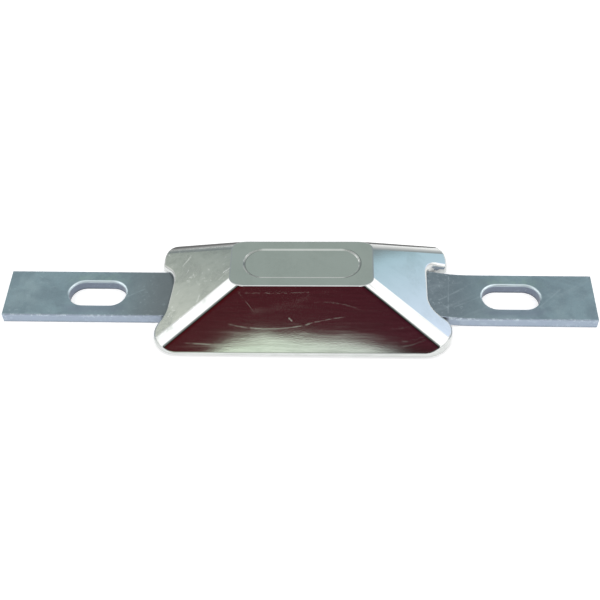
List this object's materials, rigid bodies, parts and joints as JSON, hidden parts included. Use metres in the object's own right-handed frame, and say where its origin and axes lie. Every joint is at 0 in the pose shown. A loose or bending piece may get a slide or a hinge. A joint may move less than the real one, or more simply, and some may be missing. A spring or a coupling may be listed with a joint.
{
  "type": "sacrificial anode",
  "caption": "Bolt-on hull anode: a zinc block with sloping sides and notched ends, cast round a flat steel strap with an oblong bolt slot in each arm.",
  "frame": {"origin": "midway between the two bolt slots, on the plane that the strap's arms bear on", "axes": "+X along the strap, +Y across it, +Z away from the hull"},
  "size_m": [0.3051, 0.0729, 0.0313],
  "materials": {
    "cast_zinc": "bright as-cast zinc",
    "galvanised_steel": "mottled galvanised"
  },
  "bodies": {
    "root": {"anode_casting": "cast_zinc", "mounting_strap": "galvanised_steel"}
  },
  "joints": []
}
